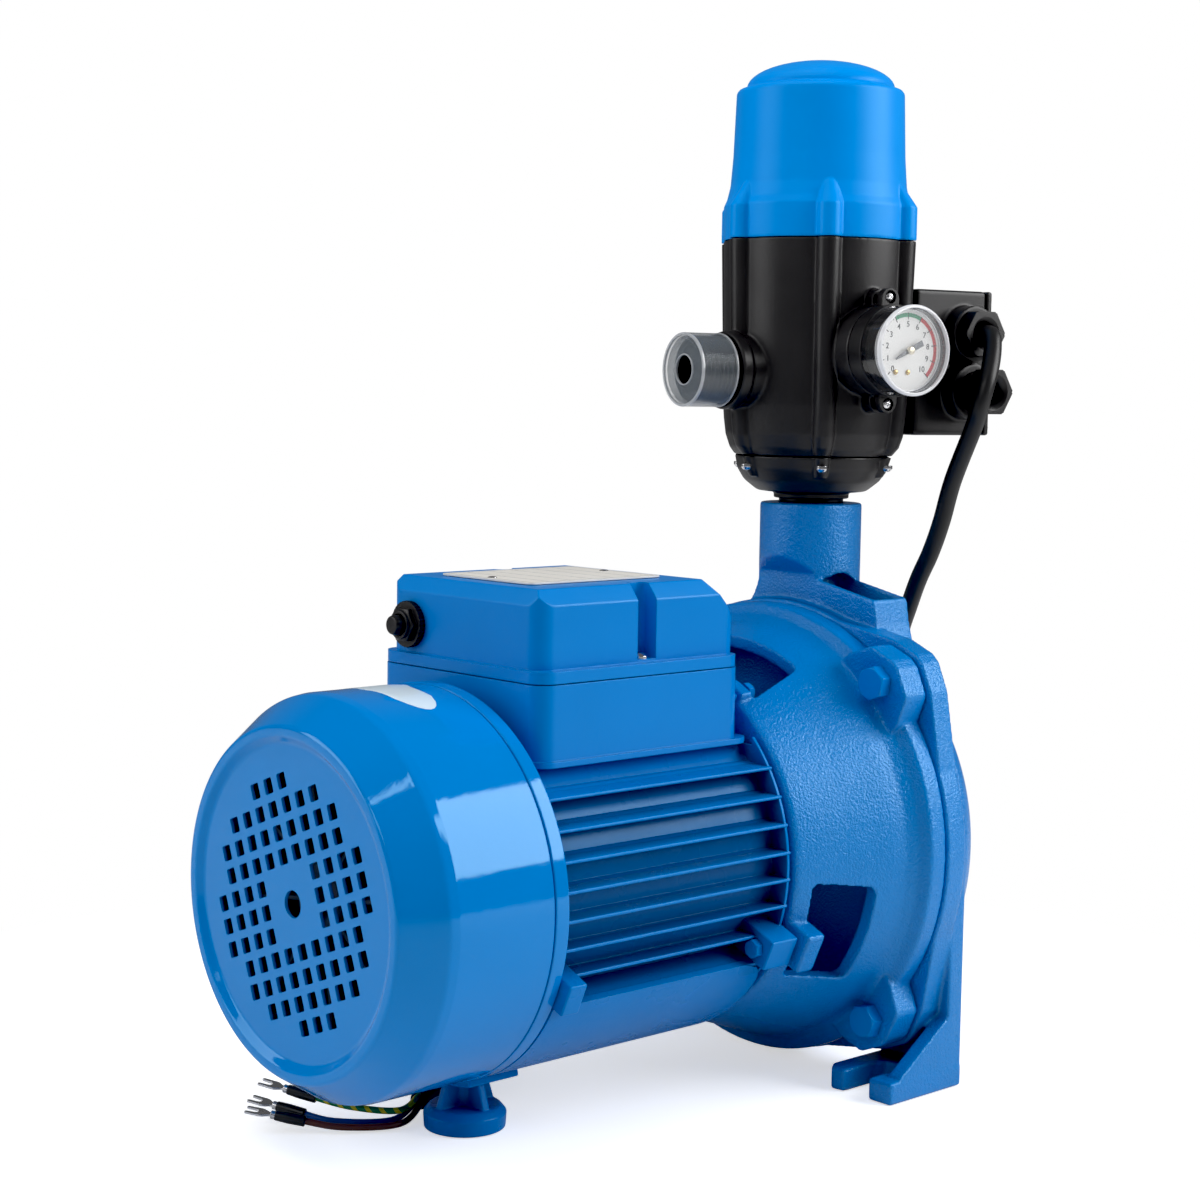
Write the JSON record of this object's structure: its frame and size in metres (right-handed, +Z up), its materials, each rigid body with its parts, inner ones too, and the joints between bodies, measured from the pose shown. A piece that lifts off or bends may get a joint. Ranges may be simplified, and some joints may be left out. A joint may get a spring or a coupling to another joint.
{
  "type": "centrifugal water pump",
  "caption": "Close-coupled electric centrifugal water pump with finned fan-cooled motor, volute casing on cast feet and an automatic pressure controller with gauge on the outlet.",
  "frame": {"origin": "centre of the sole of the motor's support foot, on the floor plane", "axes": "+X is to the side with the cable glands and gauge, +Y runs along the shaft from the fan to the suction port, +Z is up along the controller"},
  "size_m": [0.2262, 0.364, 0.4462],
  "materials": {
    "blanking_gland": "fine moulded texture",
    "bracket": "rough sand cast, painted blue",
    "cable_gland": "fine moulded texture",
    "casing_bolt_1": "satin",
    "casing_bolt_2": "satin",
    "casing_bolt_3": "satin",
    "casing_bolt_4": "satin",
    "casing_o_ring": "moulded",
    "conductor_blue": "satin",
    "conductor_brown": "satin",
    "conductor_earth": "satin",
    "control_box_cover": "fine moulded texture",
    "controller_base": "fine moulded texture",
    "controller_body": "fine moulded texture",
    "controller_cap": "satin",
    "cooling_fan": "moulded",
    "drain_plug": "turned",
    "drive_bearing_inner": "ground",
    "drive_bearing_outer": "ground",
    "fan_bearing_inner": "ground",
    "fan_bearing_outer": "ground",
    "fan_cover": "gloss",
    "fan_end_shield": "satin",
    "filler_plug": "turned",
    "flow_valve": "satin",
    "frame_bolt_1": "satin",
    "frame_bolt_2": "satin",
    "frame_bolt_3": "satin",
    "frame_bolt_4": "satin",
    "gauge_case": "turned",
    "gauge_dial": "satin",
    "gauge_lens": "clear moulded plastic",
    "gauge_pod": "fine moulded texture",
    "gauge_pointer": "satin",
    "impeller": "cast",
    "impeller_key": "ground",
    "impeller_nut": "turned",
    "lid_screw_left": "bright",
    "lid_screw_right": "bright",
    "motor_frame": "satin",
    "nameplate": "matte",
    "outlet_cap": "frosted",
    "overload_protector": "satin",
    "power_cable": "matte sheath",
    "pump_casing": "rough sand cast, painted blue",
    "reset_button": "satin",
    "reset_button_nut": "satin",
    "restart_button": "satin",
    "rotor_core": "laminated",
    "run_capacitor": "satin",
    "seal_head": "moulded",
    "seal_seat": "lapped ceramic",
    "shaft": "ground",
    "stator_core": "laminated",
    "stator_winding_front": "enamelled copper wire",
    "stator_winding_rear": "enamelled copper wire",
    "support_foot": "satin",
    "terminal_block": "satin",
    "terminal_box_lid": "satin",
    "valve_spring": "bright"
  },
  "bodies": {
    "pump": {"blanking_gland": "blanking_gland", "bracket": "bracket", "cable_gland": "cable_gland", "casing_bolt_1": "casing_bolt_1", "casing_bolt_2": "casing_bolt_2", "casing_bolt_3": "casing_bolt_3", "casing_bolt_4": "casing_bolt_4", "casing_o_ring": "casing_o_ring", "conductor_blue": "conductor_blue", "conductor_brown": "conductor_brown", "conductor_earth": "conductor_earth", "control_box_cover": "control_box_cover", "controller_base": "controller_base", "controller_body": "controller_body", "controller_cap": "controller_cap", "drain_plug": "drain_plug", "drive_bearing_outer": "drive_bearing_outer", "fan_bearing_outer": "fan_bearing_outer", "fan_cover": "fan_cover", "fan_end_shield": "fan_end_shield", "filler_plug": "filler_plug", "frame_bolt_1": "frame_bolt_1", "frame_bolt_2": "frame_bolt_2", "frame_bolt_3": "frame_bolt_3", "frame_bolt_4": "frame_bolt_4", "gauge_case": "gauge_case", "gauge_dial": "gauge_dial", "gauge_lens": "gauge_lens", "gauge_pod": "gauge_pod", "lid_screw_left": "lid_screw_left", "lid_screw_right": "lid_screw_right", "motor_frame": "motor_frame", "nameplate": "nameplate", "outlet_cap": "outlet_cap", "overload_protector": "overload_protector", "power_cable": "power_cable", "pump_casing": "pump_casing", "reset_button_nut": "reset_button_nut", "run_capacitor": "run_capacitor", "seal_seat": "seal_seat", "stator_core": "stator_core", "stator_winding_front": "stator_winding_front", "stator_winding_rear": "stator_winding_rear", "support_foot": "support_foot", "terminal_block": "terminal_block", "terminal_box_lid": "terminal_box_lid", "valve_spring": "valve_spring"},
    "rotor": {"shaft": "shaft", "rotor_core": "rotor_core", "cooling_fan": "cooling_fan", "fan_bearing_inner": "fan_bearing_inner", "drive_bearing_inner": "drive_bearing_inner", "seal_head": "seal_head", "impeller": "impeller", "impeller_nut": "impeller_nut", "impeller_key": "impeller_key"},
    "reset_button_body": {"reset_button": "reset_button"},
    "restart_button_body": {"restart_button": "restart_button"},
    "pointer": {"gauge_pointer": "gauge_pointer"},
    "valve": {"flow_valve": "flow_valve"}
  },
  "joints": [
    {"name": "rotor_spin", "type": "hinge", "parent": "pump", "child": "rotor", "pos_m": [0, 0.1, 0.1035], "axis": [0, 1, 0], "continuous": true},
    {"name": "reset_button_press", "type": "slide", "parent": "pump", "child": "reset_button_body", "axis": [0, 1, 0], "range_m": [0, 0.003]},
    {"name": "restart_button_press", "type": "slide", "parent": "pump", "child": "restart_button_body", "axis": [-0.1857, -0.9826, 0], "range_m": [0, 0.001]},
    {"name": "gauge_pointer_turn", "type": "hinge", "parent": "pump", "child": "pointer", "pos_m": [0.06584, 0.18676, 0.3173], "axis": [-0.9826, 0.1857, 0], "range_deg": [0, 270]},
    {"name": "flow_valve_lift", "type": "slide", "parent": "pump", "child": "valve", "axis": [0, 0, 1], "range_m": [0, 0.012], "deforming": ["valve_spring"]}
  ]
}
